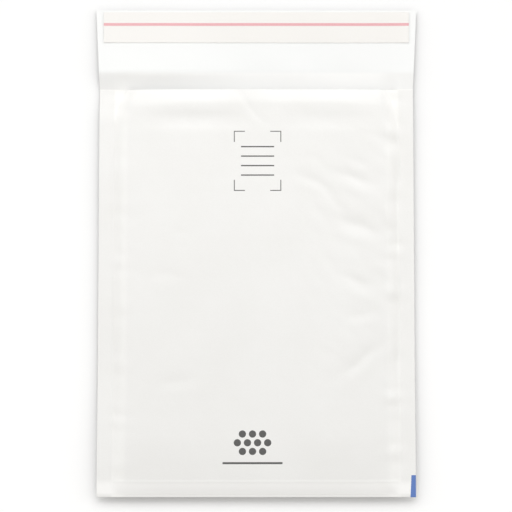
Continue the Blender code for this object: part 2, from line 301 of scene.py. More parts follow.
# %% [markdown]
# ## The mouth
#
# At the mouth the near panel rolls up over the end of the film and drops to its cut edge. The
# far panel goes on past it, rises to the crease, and lies down as the flap. The crease stands
# higher on the left, so the paper in front of it is in shade there.

# %% Heights at the mouth and on the flap
RIDGE_BACK = 0.0085
RIDGE_REACH = 0.0095
HOLLOW_BACK = 0.0110
HOLLOW_REACH = 0.0080
LIP_DROP = 0.0030
LIP_PINCH = 0.6
# (middle, reach) across the mouth: the roll's two arcs, and the pinch between them
LEFT_ARC = (-0.040, 0.052)
RIGHT_ARC = (0.048, 0.050)
PINCH = (-0.006, 0.020)
MOUTH_LIFT = 0.0012
MOUTH_LIFT_LENGTH = 0.0060
MOUTH_TAPER = 0.0075
MOUTH_TAPER_LENGTH = 0.030
FLAP_END_HEIGHT = 0.0026
CREASE_ROUND = 0.0024
RAMP_CURVE = 0.45
# (place across, height) of the crease, from the left end to the right one, in millimetres
CREASE_LINE = (
    (-102, 4.3), (-80, 4.5), (-60, 4.3), (-35, 3.3), (-5, 2.3),
    (25, 2.2), (55, 1.5), (82, 2.0), (102, 4.0),
)


def smooth_line(x, points):
    """The heights in metres of a soft curve through some points, which are in millimetres."""
    xs, ys = np.array(points).T / 1000
    fine = np.linspace(xs[0], xs[-1], 400)
    level = np.interp(fine, xs, ys)
    reach = 12  # of the 400 places, to each side
    kernel = np.hanning(2 * reach + 1)
    soft = np.convolve(np.pad(level, reach, mode="edge"), kernel / kernel.sum(), "valid")
    return np.interp(x, fine, soft)


def lip(x, y):
    """How far the near panel has dropped between its ridge and its cut edge."""
    further_back = 0.0030 * bump(x + 0.085, 0.05) + 0.0015 * bump(x - 0.08, 0.04)
    start = MOUTH_Y - RIDGE_BACK - further_back
    pinch = 1 - LIP_PINCH * bump(x - PINCH[0], PINCH[1])
    return LIP_DROP * pinch * share((y - start) / (MOUTH_Y - start)) ** 1.5


def mouth_roll(x, y):
    """The roll behind the lip: one arc on each side of a pinch, higher on the left."""
    left = bump(x - LEFT_ARC[0], LEFT_ARC[1])
    right = bump(x - RIGHT_ARC[0], RIGHT_ARC[1])
    ridge = MOUTH_Y - RIDGE_BACK
    crest = (0.0007 * left + 0.0005 * right) * bump(y - ridge, RIDGE_REACH)
    hollow = (0.0007 * left + 0.0004 * right) * bump(y - ridge + HOLLOW_BACK, HOLLOW_REACH)
    return crest - hollow


def crease_height(x):
    """The height of the crease over the table, along the envelope's width."""
    return smooth_line(x, CREASE_LINE)


def flap_height(x, y):
    """The height of the flap's underside: it sinks from the crease to its free edge."""
    along = share((y - CREASE_Y) / (FREE_Y - CREASE_Y))
    waves = 0.00012 * np.sin(70 * x + 1.0) * along + 0.0001 * np.sin(120 * x + 60 * y)
    fall = quarter(along) * 0.6 + along * 0.4
    crease = crease_height(x)
    return crease + (FLAP_END_HEIGHT - crease) * fall + waves * ease(4 * along)


# %% The height of each panel
FOLD_MARGIN = 0.0015
SEAM_WAVE_HEIGHT = 0.00012
FILM_END_HEIGHT = 0.00012
EDGE_WANDER_LEFT = 0.0005
EDGE_WANDER_RIGHT = 0.0016


def mouth_taper(y):
    """How much narrower the pad is towards the mouth, on each side."""
    return MOUTH_TAPER * share(1 - (MOUTH_Y - y) / MOUTH_TAPER_LENGTH) ** 2


def edge_unrest(x, y):
    """How far the pad's edge wanders in from the seam: more on the right, where it is crumpled."""
    wander = 0.5 + 0.3 * np.sin(66 * y + 0.4) + 0.2 * np.sin(171 * y + 1.1)
    more = EDGE_WANDER_RIGHT - EDGE_WANDER_LEFT
    return wander * (EDGE_WANDER_LEFT + more * ease(x / RIGHT_BLEND))


def pad_share(x, y):
    """How far the near panel stands up over the pad, from 0 at the seams to 1."""
    side = swell(inside_seam(x, y) - mouth_taper(y) - edge_unrest(x, y), BEVEL_WIDTH, BEVEL_SHARE)
    return side * swell(y - BOTTOM_Y - FOLD_MARGIN, BOTTOM_STRIP, BOTTOM_SHARE)


def seam_wave(x, y):
    """The slow up and down of the seams along their length."""
    return SEAM_WAVE_HEIGHT * np.sin(75 * y + 1.3 * np.sign(x))


def near_smooth(x, y):
    """The near panel's outer face, without its wrinkles and its roll."""
    seam = seam_height(x, y) + PAPER + SEAM_GLUE
    return seam + (TOP_HEIGHT - seam - lip(x, y)) * pad_share(x, y)


def near_height(x, y):
    """The near panel's outer face."""
    over_pad = pad_share(x, y)
    bottom = quarter((y - BOTTOM_Y) / BOTTOM_STRIP)
    fine = wrinkles(x, y) - CRUMPLE_DEPTH * crumples(x, y)
    fine += WAVE_HEIGHT * slow_waves(x, y) + PRINT_THROUGH * bubble_print(x, y)
    seam_waves = seam_wave(x, y) * (1 - over_pad)
    film_end = FILM_END_HEIGHT * bump(y - LINING_BOTTOM_Y - 0.0006, 0.0012)
    film_end *= share(inside_seam(x, y) / 0.004)
    return (
        near_smooth(x, y) + fine * over_pad**2 + mouth_roll(x, y) * over_pad
        + PUCKER_HEIGHT * puckers(x, y) * bottom + seam_waves * bottom + film_end
    )


def far_height(x, y):
    """The underside of the far panel and the flap."""
    seam = seam_height(x, y) - PAPER - SEAM_GLUE
    side = quarter(inside_seam(x, np.minimum(y, MOUTH_Y)) / UNDER_BEVEL)
    bottom = quarter((y - BOTTOM_Y - FOLD_MARGIN) / UNDER_BOTTOM)
    seam_waves = seam_wave(x, y) * (1 - side) * quarter((y - BOTTOM_Y) / BOTTOM_STRIP)
    lift = MOUTH_LIFT * ease(1 - (MOUTH_Y - y) / MOUTH_LIFT_LENGTH)
    body = seam + (lift - seam) * side * bottom + seam_waves
    past = share((y - MOUTH_Y) / (CREASE_Y - MOUTH_Y))
    to_flap = past - RAMP_CURVE * side * past * (1 - past)
    bend = (crease_height(x) - body) * (1 + RAMP_CURVE * side) / (CREASE_Y - MOUTH_Y)
    rounding = bend * CREASE_ROUND / 4 * share(1 - np.abs(y - CREASE_Y) / CREASE_ROUND) ** 2
    return body + (flap_height(x, y) - body) * to_flap - rounding


# %% [markdown]
# ## From heights to a folded sheet
#
# The real envelope is one sheet that turns round at the bottom. The mesh is made the same
# way: rows of points run from the mouth down the near panel, round the fold, and up the far
# panel to the flap's free edge. Solidify then gives that one surface the paper's thickness,
# which keeps the mouth open and every wall closed.

# %% A web that is folded once
FOLD_ROWS = 9
SHARP_ANGLE = math.radians(50)


def steps(*stretches):
    """Values over joined stretches, each (from, to, about this far apart)."""
    values = []
    for start, stop, step in stretches:
        count = max(1, round(abs(stop - start) / step))
        values.extend(np.linspace(start, stop, count, endpoint=False))
    return np.array([*values, stretches[-1][1]])


def grid_mesh(name, x, y, z):
    """A mesh over arrays of rows and columns, and the mesh's object."""
    rows, columns = x.shape
    corner = (np.arange(rows - 1)[:, None] * columns + np.arange(columns - 1)).ravel()
    faces = np.stack([corner, corner + columns, corner + columns + 1, corner + 1], axis=1)
    mesh = bpy.data.meshes.new(name)
    mesh.from_pydata(np.stack([x, y, z], axis=-1).reshape(-1, 3).tolist(), [], faces.tolist())
    made = bpy.data.objects.new(name, mesh)
    bpy.context.scene.collection.objects.link(made)
    return made


def folded_web(name, across, near_rows, far_rows, edge, near, far, fold_depth):
    """A sheet that runs down the near panel, turns round at the bottom and runs up again.

    across holds places from -1 to 1 over the width, and near and far give the heights."""
    fold_y = near_rows[-1]
    rows_x, rows_y, rows_z = [], [], []
    for y in near_rows:
        rows_x.append(across * edge(y))
        rows_y.append(np.full_like(across, y))
        rows_z.append(near(rows_x[-1], rows_y[-1]))
    top, low = rows_z[-1], far(rows_x[-1], np.full_like(across, fold_y))
    for angle in np.linspace(np.pi / 2, -np.pi / 2, FOLD_ROWS)[1:-1]:
        rows_x.append(across * edge(fold_y))
        rows_y.append(np.full_like(across, fold_y - fold_depth * math.cos(angle)))
        rows_z.append((top + low) / 2 + (top - low) / 2 * math.sin(angle))
    for y in far_rows:
        rows_x.append(across * edge(y))
        rows_y.append(np.full_like(across, y))
        rows_z.append(far(rows_x[-1], rows_y[-1]))
    return grid_mesh(name, np.array(rows_x), np.array(rows_y), np.array(rows_z))


def add_thickness(thing, thickness):
    """Give a sheet its thickness, half to each side."""
    solidify = thing.modifiers.new("thickness", "SOLIDIFY")
    solidify.thickness = thickness
    solidify.offset = 0.0


def make_plain(thing):
    """Turn what the modifiers make into the object's own mesh, and shade it smooth."""
    seen = bpy.context.evaluated_depsgraph_get()
    mesh = bpy.data.meshes.new_from_object(thing.evaluated_get(seen))
    thing.modifiers.clear()
    thing.data = mesh
    mesh.shade_smooth()
    mesh.set_sharp_from_angle(angle=SHARP_ANGLE)
    triangles = sum(len(face.vertices) - 2 for face in mesh.polygons)
    print(thing.name, "triangles:", triangles)
    return thing


# %% [markdown]
# ## The paper
#
# The rows lie close together where the paper bends: at the seams, on the bottom strip, at the
# mouth and at the crease. Between them they can be further apart.

# %% Make the paper envelope
half = MOUTH_WIDTH / 2
seam_in = half - SEAM_WIDTH
across_right = steps(
    (0, seam_in - 0.008, 0.0018),
    (seam_in - 0.008, seam_in + 0.001, 0.0008),
    (seam_in + 0.001, half, 0.0022),
)
across = np.concatenate([-across_right[:0:-1], across_right]) / half

near_rows = steps(
    (MOUTH_Y, MOUTH_Y - 0.026, 0.0010),
    (MOUTH_Y - 0.026, BOTTOM_Y + 0.014, 0.0018),
    (BOTTOM_Y + 0.014, BOTTOM_Y + 0.008, 0.0005),
    (BOTTOM_Y + 0.008, BOTTOM_Y + FOLD_RADIUS, 0.0010),
)
far_rows = steps(
    (BOTTOM_Y + FOLD_RADIUS, BOTTOM_Y + 0.012, 0.0012),
    (BOTTOM_Y + 0.012, MOUTH_Y, 0.0034),
    (MOUTH_Y, CREASE_Y - CREASE_ROUND, 0.0009),
    (CREASE_Y - CREASE_ROUND, CREASE_Y + CREASE_ROUND, 0.0004),
    (CREASE_Y + CREASE_ROUND, FREE_Y, 0.0018),
)
paper = folded_web(
    "paper_web", across, near_rows, far_rows, half_width,
    lambda x, y: near_height(x, y) - PAPER / 2,
    lambda x, y: far_height(x, y) + PAPER / 2,
    FOLD_RADIUS,
)
add_thickness(paper, PAPER)
make_plain(paper)

# %% [markdown]
# ## The bubble film
#
# Bubble film is a flat film with rows of air-filled domes sealed to it. Here its flat side lies
# against the paper and the domes face into the pocket. The film is a folded web like the
# paper, a little smaller. The domes repeat hundreds of times, so Geometry Nodes set them: a
# lattice of points is cast onto the film, and each point that hits carries one dome.

# %% Make the flat film
FILM_MARGIN = 0.0012
FILM_FOLD_DEPTH = 0.0036
FILM_STEP = 0.0030
LEAST_SLACK = 0.0001


def film_edge(y):
    """Half of the film's width, which ends inside the seams and the mouth's round corners."""
    return half_width(y) - SEAM_WIDTH - FILM_MARGIN - 0.9 * mouth_taper(y)


def film_near(x, y):
    """The near half: it spans the paper's wrinkles, and comes close to it only at the mouth."""
    slack = LEAST_SLACK + (FILM_SLACK - LEAST_SLACK) * ease((MOUTH_Y - y) / 0.006) * pad_share(x, y)
    return np.minimum(near_smooth(x, y) - slack, near_height(x, y)) - PAPER - FILM_GAP - FILM_SHEET / 2


def film_far(x, y):
    """The far half, which lies on the far panel."""
    return far_height(x, np.minimum(y, MOUTH_Y)) + PAPER + FILM_GAP + FILM_SHEET / 2


film_half = film_edge(BOTTOM_Y)
film_right = steps((0, film_half - 0.008, FILM_STEP), (film_half - 0.008, film_half, 0.0013))
film_fold_y = LINING_BOTTOM_Y + FILM_FOLD_DEPTH
lining = folded_web(
    "bubble_film",
    np.concatenate([-film_right[:0:-1], film_right]) / film_half,
    steps((LINING_TOP_Y, film_fold_y, FILM_STEP)),
    steps((film_fold_y, LINING_TOP_Y, FILM_STEP)),
    film_edge, film_near, film_far, FILM_FOLD_DEPTH,
)
add_thickness(lining, FILM_SHEET)
make_plain(lining)


# %% A tree that sets domes on a film
def geometry_tree(name, sockets):
    """A new Geometry Nodes tree with named inputs, and the group's input and output nodes."""
    tree = bpy.data.node_groups.new(name, "GeometryNodeTree")
    tree.interface.new_socket("Geometry", in_out="INPUT", socket_type="NodeSocketGeometry")
    for socket, kind in sockets:
        tree.interface.new_socket(socket, in_out="INPUT", socket_type=kind)
    tree.interface.new_socket("Geometry", in_out="OUTPUT", socket_type="NodeSocketGeometry")
    return tree, tree.nodes.new("NodeGroupInput"), tree.nodes.new("NodeGroupOutput")


def add_node(tree, kind, settings=None, **sockets):
    """A node with its settings, and the values or links of its inputs by name."""
    made = tree.nodes.new(kind)
    for key, value in (settings or {}).items():
        setattr(made, key, value)
    for key, value in sockets.items():
        socket = made.inputs[int(key[1:])] if key[0] == "_" else made.inputs[key.replace("_", " ")]
        if isinstance(value, bpy.types.NodeSocket):
            tree.links.new(value, socket)
        else:
            socket.default_value = value
    return made


def number(tree, operation, *values):
    """The result of one Math node."""
    sockets = {f"_{place}": value for place, value in enumerate(values)}
    return add_node(tree, "ShaderNodeMath", {"operation": operation}, **sockets).outputs[0]


def dome_tree():
    """Domes on every point of a lattice that a ray from the pocket's middle finds the film at."""
    floats = (
        "Pitch", "Dome Width", "Dome Height", "Field Width", "Field Length",
        "Middle Y", "Middle Z", "Towards",
    )
    tree, given, result = geometry_tree("bubble_domes", [(name, "NodeSocketFloat") for name in floats])
    value = {name: given.outputs[name] for name in floats}
    row_step = number(tree, "MULTIPLY", value["Pitch"], math.sqrt(3) / 2)
    columns = number(tree, "FLOOR", number(tree, "DIVIDE", value["Field Width"], value["Pitch"]))
    rows = number(tree, "FLOOR", number(tree, "DIVIDE", value["Field Length"], row_step))
    size_x = number(tree, "MULTIPLY", number(tree, "SUBTRACT", columns, 1.0), value["Pitch"])
    size_y = number(tree, "MULTIPLY", number(tree, "SUBTRACT", rows, 1.0), row_step)
    lattice = add_node(
        tree, "GeometryNodeMeshGrid", Size_X=size_x, Size_Y=size_y, Vertices_X=columns, Vertices_Y=rows
    ).outputs["Mesh"]
    index = add_node(tree, "GeometryNodeInputIndex").outputs[0]
    odd = number(tree, "MODULO", number(tree, "MODULO", index, rows), 2.0)
    half_pitch = number(tree, "MULTIPLY", value["Pitch"], 0.5)
    shift = number(tree, "MULTIPLY", number(tree, "SUBTRACT", odd, 0.5), half_pitch)
    place = add_node(
        tree, "ShaderNodeCombineXYZ", X=shift, Y=value["Middle Y"], Z=value["Middle Z"]
    ).outputs[0]
    lattice = add_node(tree, "GeometryNodeSetPosition", Geometry=lattice, Offset=place).outputs[0]

    direction = add_node(tree, "ShaderNodeCombineXYZ", Z=value["Towards"]).outputs[0]
    cast = add_node(
        tree, "GeometryNodeRaycast", Target_Geometry=given.outputs["Geometry"],
        Ray_Direction=direction, Ray_Length=0.02,
    )
    held = add_node(tree, "GeometryNodeCaptureAttribute", Geometry=lattice)
    held.capture_items.new("VECTOR", "normal")
    tree.links.new(cast.outputs["Hit Normal"], held.inputs["normal"])
    missed = add_node(
        tree, "FunctionNodeBooleanMath", {"operation": "NOT"}, _0=cast.outputs["Is Hit"]
    ).outputs[0]
    kept = add_node(
        tree, "GeometryNodeDeleteGeometry", Geometry=held.outputs["Geometry"], Selection=missed
    )
    placed = add_node(
        tree, "GeometryNodeSetPosition", Geometry=kept.outputs[0], Position=cast.outputs["Hit Position"]
    ).outputs[0]

    ball = add_node(tree, "GeometryNodeMeshUVSphere", Segments=12, Rings=6, Radius=1.0).outputs["Mesh"]
    position = add_node(tree, "GeometryNodeInputPosition").outputs[0]
    apart = add_node(tree, "ShaderNodeSeparateXYZ", Vector=position)
    lifted = number(tree, "POWER", number(tree, "MAXIMUM", apart.outputs["Z"], 0.0), 0.65)
    flat_bottom = add_node(
        tree, "ShaderNodeCombineXYZ", X=apart.outputs["X"], Y=apart.outputs["Y"], Z=lifted
    ).outputs[0]
    dome = add_node(tree, "GeometryNodeSetPosition", Geometry=ball, Position=flat_bottom).outputs[0]
    radius = number(tree, "MULTIPLY", value["Dome Width"], 0.5)
    fullness = add_node(
        tree, "FunctionNodeRandomValue", {"data_type": "FLOAT"}, Min=0.86, Max=1.0, Seed=3
    ).outputs["Value"]
    height = number(tree, "MULTIPLY", value["Dome Height"], fullness)
    scale = add_node(tree, "ShaderNodeCombineXYZ", X=radius, Y=radius, Z=height).outputs[0]
    turn = add_node(
        tree, "FunctionNodeAlignRotationToVector", {"axis": "Z"}, Vector=held.outputs["normal"]
    ).outputs[0]
    domes = add_node(
        tree, "GeometryNodeInstanceOnPoints", Points=placed, Instance=dome, Rotation=turn, Scale=scale
    ).outputs[0]
    real = add_node(tree, "GeometryNodeRealizeInstances", Geometry=domes).outputs[0]
    joined = add_node(tree, "GeometryNodeJoinGeometry")
    tree.links.new(given.outputs["Geometry"], joined.inputs[0])
    tree.links.new(real, joined.inputs[0])
    tree.links.new(joined.outputs[0], result.inputs[0])
    return tree


domes = dome_tree()
print("nodes in the dome tree:", len(domes.nodes))


# %% Set the domes on both halves of the film
FIELD_MARGIN_X = 0.016
FIELD_MARGIN_Y = 0.013
POCKET_MIDDLE_Z = 0.0048


def set_inputs(modifier, **values):
    """Set a Geometry Nodes modifier's inputs, found by name and set by identifier."""
    for item in modifier.node_group.interface.items_tree:
        if item.in_out == "INPUT" and item.name.replace(" ", "_") in values:
            modifier[item.identifier] = values[item.name.replace(" ", "_")]


def set_domes(thing, towards):
    """Domes on the film that lies above the pocket's middle, or below it."""
    modifier = thing.modifiers.new("domes", "NODES")
    modifier.node_group = domes
    set_inputs(
        modifier, Pitch=BUBBLE_PITCH, Dome_Width=BUBBLE_WIDTH, Dome_Height=FILM_DEPTH,
        Field_Width=2 * film_half - FIELD_MARGIN_X,
        Field_Length=LINING_TOP_Y - film_fold_y - FIELD_MARGIN_Y,
        Middle_Y=(LINING_TOP_Y + film_fold_y) / 2, Middle_Z=POCKET_MIDDLE_Z, Towards=towards,
    )


set_domes(lining, 1.0)
set_domes(lining, -1.0)
make_plain(lining)

# %% [markdown]
# ## The strips on the flap
#
# The adhesive is a thin band, and the liner over it is a little wider, so that it can be
# gripped and peeled. Both follow the flap's surface. The liner's ends lift a little.

# %% Make the adhesive and the liner
STRIP_GAP = 0.00006
ADHESIVE_THICKNESS = 0.00010
LINER_THICKNESS = 0.00009
LINER_CURL = 0.0004
CURL_LENGTH = 0.010


def flap_strip(name, low, high, thickness, lift, curl):
    """A strip of the node's own width and length, lying on the flap's paper."""
    xs = np.linspace(float(low[0]), float(high[0]), 150)
    ys = np.linspace(float(high[1]), float(low[1]), 22)
    x, y = np.meshgrid(xs, ys)
    end = np.abs(x) - (float(high[0]) - CURL_LENGTH)
    rise = curl * share(end / CURL_LENGTH) ** 2
    z = flap_height(x, y) + PAPER + lift + thickness / 2 + rise
    strip = grid_mesh(name, x, y, z)
    add_thickness(strip, thickness)
    return make_plain(strip)


adhesive = flap_strip("adhesive_band", glue_low, glue_high, ADHESIVE_THICKNESS, STRIP_GAP, curl=0.0)
liner_lift = ADHESIVE_THICKNESS + 2 * STRIP_GAP
liner = flap_strip("peel_liner", liner_low, liner_high, LINER_THICKNESS, liner_lift, LINER_CURL)

# %% [markdown]
# ## Shader maths
#
# A material's masks read best as sums, so one small class wraps a socket and gives it the
# usual signs. Every sign adds a Math node, and one method adds any other node.

# %% A socket that can be used in sums
class Field:
    """A value that changes over a surface: one output socket of a material's tree."""

    def __init__(self, tree, socket=None):
        self.tree = tree
        self.socket = socket

    def node(self, kind, settings=None, sockets=None, out=0):
        """Any node: its type, its settings, then the values or links of its sockets."""
        made = self.tree.nodes.new(kind)
        for key, value in (settings or {}).items():
            if key == "stops":
                set_stops(made.color_ramp, value)
            else:
                setattr(made, key, value)
        for key, value in (sockets or {}).items():
            if isinstance(value, Field):
                self.tree.links.new(value.socket, made.inputs[key])
            else:
                made.inputs[key].default_value = value
        return Field(self.tree, made.outputs[out])

    def math(self, operation, *values):
        """One Math node on some fields and numbers."""
        return self.node("ShaderNodeMath", {"operation": operation}, dict(enumerate(values)))

    def __add__(self, other):
        return self.math("ADD", self, other)

    __radd__ = __add__

    def __sub__(self, other):
        return self.math("SUBTRACT", self, other)

    def __rsub__(self, other):
        return self.math("SUBTRACT", other, self)

    def __mul__(self, other):
        return self.math("MULTIPLY", self, other)

    __rmul__ = __mul__

    def __truediv__(self, other):
        return self.math("DIVIDE", self, other)

    def __lt__(self, other):
        return self.math("LESS_THAN", self, other)

    def __gt__(self, other):
        return self.math("GREATER_THAN", self, other)

    def __abs__(self):
        return self.math("ABSOLUTE", self)

    def larger(self, other):
        return self.math("MAXIMUM", self, other)

    def step(self, start, stop):
        """From 0 to 1 as this goes from start to stop, softly."""
        settings = {"interpolation_type": "SMOOTHSTEP"}
        return self.node(
            "ShaderNodeMapRange", settings, {"Value": self, "From Min": start, "From Max": stop}
        )

    def mix(self, low, high):
        """A colour between two, by this field."""
        sockets = {"Factor": self, 6: colour(low), 7: colour(high)}
        return self.node("ShaderNodeMix", {"data_type": "RGBA"}, sockets, out=2)


def set_stops(ramp, stops):
    """Give a colour ramp its stops, each (place, colour)."""
    while len(ramp.elements) < len(stops):
        ramp.elements.new(0.5)
    for element, (place, tone) in zip(ramp.elements, stops):
        element.position = place
        element.color = colour(tone)


def colour(value):
    """A colour socket's value: fields stay, and three numbers get an alpha of 1."""
    return value if isinstance(value, Field) or len(value) == 4 else (*value, 1.0)


def new_material(name, **constants):
    """A material, its Principled shader's node and a field to start from."""
    made = bpy.data.materials.new(name)
    made.use_nodes = True
    shader = made.node_tree.nodes["Principled BSDF"]
    for key, value in constants.items():
        shader.inputs[key.replace("_", " ")].default_value = value
    return made, shader, Field(made.node_tree)


def feed(shader, name, field):
    """Link a field to one of the shader's sockets."""
    field.tree.links.new(field.socket, shader.inputs[name])


def own_place(start):
    """The object's own coordinates, in metres."""
    return start.node("ShaderNodeTexCoord", out="Object")


def part_of(vector, axis):
    """One part of a vector: X, Y or Z."""
    return vector.node("ShaderNodeSeparateXYZ", None, {"Vector": vector}, out=axis)


def noise(start, point, scale, detail=2.0, roughness=0.5):
    """Noise from 0 to 1 with about this many features a metre."""
    sockets = {"Vector": point, "Scale": scale, "Detail": detail, "Roughness": roughness}
    return start.node("ShaderNodeTexNoise", None, sockets, out="Fac")


def add_bump(start, shader, height, distance):
    """Feed a height field to the shader's normal."""
    sockets = {"Height": height, "Distance": distance}
    feed(shader, "Normal", start.node("ShaderNodeBump", None, sockets))


# %% [markdown]
# ## White paper
#
# Bleached kraft paper is matt and a little warm, and its fibres show as fine mottling. Its
# tone is multiplied down everywhere but on the band beside the seams and on the bottom strip,
# and the strip is mixed lighter too: painted light on these slopes, which turn away from the
# lamps. The print is flat colour, so it is a set of masks on the paper's own coordinates: a
# blue mark at the lower right edge, and grey rules, brackets and dots.

# %% Masks for the print
MARK_WIDTH = 0.0035
MARK_LENGTH = 0.0140
MARK_SLANT = 0.0006
PRINT_LINE = 0.00055
RULE_WIDTH = 0.0008
RULE_LENGTH = 0.0210
RULE_STEP = 0.0060


def bar(x, y, middle, size):
    """A filled rectangle."""
    return (abs(x - middle[0]) < size[0] / 2) * (abs(y - middle[1]) < size[1] / 2)


def form_frame(x, y):
    """A plain form field: four corner brackets around four rules to write on."""
    middle = (0.0008, 0.0585)
    width, height, arm = 0.0300, 0.0380, 0.0070
    off_x, off_y = abs(x - middle[0]), abs(y - middle[1])
    outline = (off_x < width / 2) * (off_y < height / 2)
    inner = (off_x < width / 2 - PRINT_LINE) * (off_y < height / 2 - PRINT_LINE)
    corners = (off_x > width / 2 - arm) * (off_y > height / 2 - arm)
    inner_pair = abs(off_y - RULE_STEP / 2) < RULE_WIDTH / 2
    outer_pair = abs(off_y - RULE_STEP * 3 / 2) < RULE_WIDTH / 2
    rules = inner_pair.larger(outer_pair) * (off_x < RULE_LENGTH / 2)
    return ((outline - inner) * corners).larger(rules)


def bubble_patch(x, y):
    """A patch of ten dots in staggered rows, like the film inside, with a rule below it."""
    middle = (-0.0024, -0.1200)
    pitch, dot = 0.0064, 0.0023
    off_x, off_y = abs(x - middle[0]), abs(y - middle[1])
    field = bar(x, y, (middle[0], middle[1] - 0.0130), (0.0380, 0.0013))
    row_step = pitch * math.sqrt(3) / 2
    for across, along in ((0.5, 0), (1.5, 0), (0, 1), (1, 1)):
        from_x, from_y = off_x - across * pitch, off_y - along * row_step
        field = field.larger(from_x * from_x + from_y * from_y < dot**2)
    return field


# %% The paper's material
def white_paper():
    """Bleached kraft paper with its print."""
    made, shader, start = new_material("white_kraft_paper", Specular_IOR_Level=0.25)
    point = own_place(start)
    x, y, z = (part_of(point, axis) for axis in "XYZ")
    upward = part_of(start.node("ShaderNodeNewGeometry", out="Normal"), "Z")
    outside = (z > SEAM_HEIGHT) * (upward > 0.0)
    draw_in = (BOTTOM_WIDTH - MOUTH_WIDTH) / 2 / (MOUTH_Y - BOTTOM_Y)
    up = y - BOTTOM_Y
    beside = (BOTTOM_WIDTH / 2 - SEAM_WIDTH) - draw_in * up - abs(x)
    # painted light: the band beside the seams and the bottom strip are kept out of the darkening below,
    # so these slopes, which turn away from the lamps, stay lighter
    bevel = beside.step(-0.0005, 0.0015) * (1 - beside.step(0.005, 0.011))
    outer = (y < MOUTH_Y) * (upward > 0.0)
    strip = up.step(0.0012, 0.0032) * (1 - up.step(0.006, 0.012))
    without_painted_light = (1 - bevel) * (1 - strip) * outer

    fibres = noise(start, point, 1400.0, 3.0, 0.65)
    clouds = noise(start, point, 28.0, 2.0, 0.5)
    tone = start.node(
        "ShaderNodeValToRGB",
        {"stops": [(0.30, (0.900, 0.893, 0.870)), (0.70, (0.938, 0.934, 0.916))]},
        {"Fac": 0.55 * fibres + 0.45 * clouds},
    )
    darker = start.node(
        "ShaderNodeMix", {"data_type": "RGBA", "blend_type": "MULTIPLY"},
        {"Factor": without_painted_light, 6: tone, 7: (0.942, 0.942, 0.944, 1.0)}, out=2,
    )
    grey = form_frame(x, y).larger(bubble_patch(x, y)) * outside
    # painted light: the bottom strip is also mixed to a lighter colour
    lighter = (strip * outer).mix(darker, (0.958, 0.952, 0.936))
    printed = (grey * (0.90 + 0.1 * fibres)).mix(lighter, (0.085, 0.085, 0.083))
    slant = MARK_SLANT * up / MARK_LENGTH
    blue = (x > BOTTOM_WIDTH / 2 - MARK_WIDTH + slant) * (up < MARK_LENGTH)
    blue = blue * (z > SEAM_HEIGHT) * (upward > -0.5)
    # past the mouth the inner face shows: painted shade at its ends beside the seams, painted light
    # between them against the lip's shade, cooler on the flap
    band_painted_shade_and_light = beside.step(-0.003, 0.018).mix((0.856, 0.855, 0.843), (0.932, 0.930, 0.917))
    inner = (y > MOUTH_Y + 0.0005).mix(printed, band_painted_shade_and_light)
    inner = (y - CREASE_Y).step(-0.0012, 0.0016).mix(inner, (0.888, 0.894, 0.888))
    feed(shader, "Base Color", (blue * 0.97).mix(inner, (0.110, 0.205, 0.520)))
    feed(shader, "Roughness", 0.80 + 0.12 * fibres)
    add_bump(start, shader, 0.7 * fibres + 0.6 * noise(start, point, 380.0, 2.0), 0.00004)
    return made


# %% [markdown]
# ## Film, adhesive and liner
#
# The film is thin, glossy polyethylene. It is clear by itself, but milky where it is stretched
# over domes, so only a little of the paper shows through it. The adhesive is tacky and cream.
# The liner is smooth coated paper, more yellow and more glossy than the envelope, with one
# red line along it.

# %% The film's material
def clear_film():
    """Polyethylene film, milky and a little see-through, more so in some places."""
    made, shader, start = new_material("clear_bubble_film", Roughness=0.16, Specular_IOR_Level=0.6)
    point = own_place(start)
    haze = noise(start, point, 90.0, 2.0)
    feed(shader, "Base Color", haze.mix((0.93, 0.945, 0.955), (0.97, 0.98, 0.985)))
    feed(shader, "Alpha", 0.60 + 0.25 * haze)
    add_bump(start, shader, noise(start, point, 260.0, 2.0), 0.0002)
    return made


# %% The adhesive's material
def cream_adhesive():
    """Pressure-sensitive adhesive, coated in fine streaks along the strip."""
    made, shader, start = new_material("cream_adhesive", Specular_IOR_Level=0.5)
    sockets = {"Vector": own_place(start), "Scale": (0.05, 1.0, 1.0)}
    stretched = start.node("ShaderNodeMapping", None, sockets)
    streaks = noise(start, stretched, 900.0, 2.0)
    feed(shader, "Base Color", streaks.mix((0.80, 0.77, 0.66), (0.87, 0.85, 0.76)))
    feed(shader, "Roughness", 0.25 + 0.15 * streaks)
    add_bump(start, shader, streaks, 0.00005)
    return made


# %% The liner's material
LINE_FROM_EDGE = 0.0091
LINE_WIDTH = 0.0019


def liner_paper():
    """Silicone-coated paper with a red line."""
    made, shader, start = new_material("coated_liner_paper", Specular_IOR_Level=0.45)
    point = own_place(start)
    fibres = noise(start, point, 900.0, 3.0, 0.6)
    clouds = noise(start, point, 22.0, 2.0)
    base = (0.5 * fibres + 0.5 * clouds).mix((0.822, 0.804, 0.774), (0.858, 0.842, 0.816))
    off = abs(part_of(point, "Y") - (FREE_Y - LINE_FROM_EDGE))
    line = 1 - off.step(LINE_WIDTH / 2 - 0.00025, LINE_WIDTH / 2 + 0.00015)
    ink = fibres.mix((0.715, 0.335, 0.370), (0.790, 0.425, 0.450))
    feed(shader, "Base Color", (line * 0.95).mix(base, ink))
    feed(shader, "Roughness", 0.42 + 0.12 * fibres - 0.06 * line)
    add_bump(start, shader, fibres, 0.00003)
    return made


# %% Give each piece its material
def dress(thing, made):
    """Give a piece one material, in place of any that it has."""
    thing.data.materials.clear()
    thing.data.materials.append(made)


dress(paper, white_paper())
dress(lining, clear_film())
dress(adhesive, cream_adhesive())
dress(liner, liner_paper())
print("materials:", [piece.data.materials[0].name for piece in (paper, lining, adhesive, liner)])
